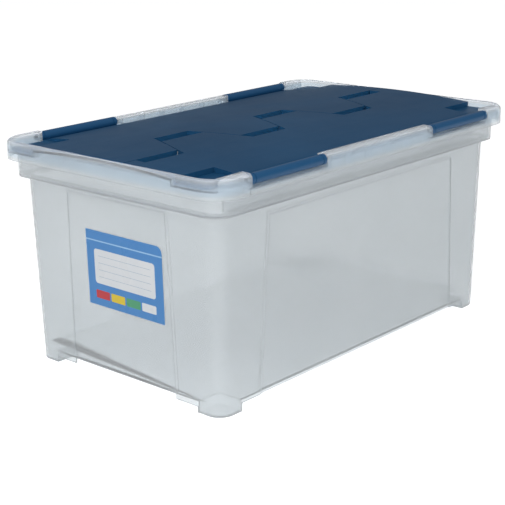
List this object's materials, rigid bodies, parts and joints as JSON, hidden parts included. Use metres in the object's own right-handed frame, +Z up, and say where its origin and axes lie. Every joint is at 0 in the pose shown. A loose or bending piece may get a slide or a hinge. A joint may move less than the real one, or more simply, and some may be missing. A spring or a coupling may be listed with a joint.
{
  "type": "stacking file box",
  "caption": "Translucent stacking tub for hanging folders, closed by two crowned wing flaps hinged on the long sides and meshing along a toothed seam.",
  "frame": {"origin": "on the floor under the middle of the box", "axes": "+X along the length away from the labelled end, +Y across the width towards the rear flap, +Z up"},
  "size_m": [0.6, 0.38, 0.292],
  "materials": {
    "clear_plastic": "frosted translucent polypropylene",
    "navy_plastic": "moulded polypropylene, fine satin grain",
    "pin_plastic": "smooth moulded plastic",
    "label_film": "printed film sticker"
  },
  "bodies": {
    "tub": {"tub": "clear_plastic", "front_left_pin": "pin_plastic", "front_right_pin": "pin_plastic", "rear_left_pin": "pin_plastic", "rear_right_pin": "pin_plastic", "label": "label_film"},
    "front_flap": {"front_flap": "navy_plastic"},
    "rear_flap": {"rear_flap": "navy_plastic"}
  },
  "joints": [
    {"name": "front_flap_hinge", "type": "hinge", "parent": "tub", "child": "front_flap", "pos_m": [0, -0.1835, 0.2835], "axis": [1, 0, 0], "range_deg": [0, 252]},
    {"name": "rear_flap_hinge", "type": "hinge", "parent": "tub", "child": "rear_flap", "pos_m": [0, 0.1835, 0.2835], "axis": [-1, 0, 0], "range_deg": [0, 252]}
  ]
}
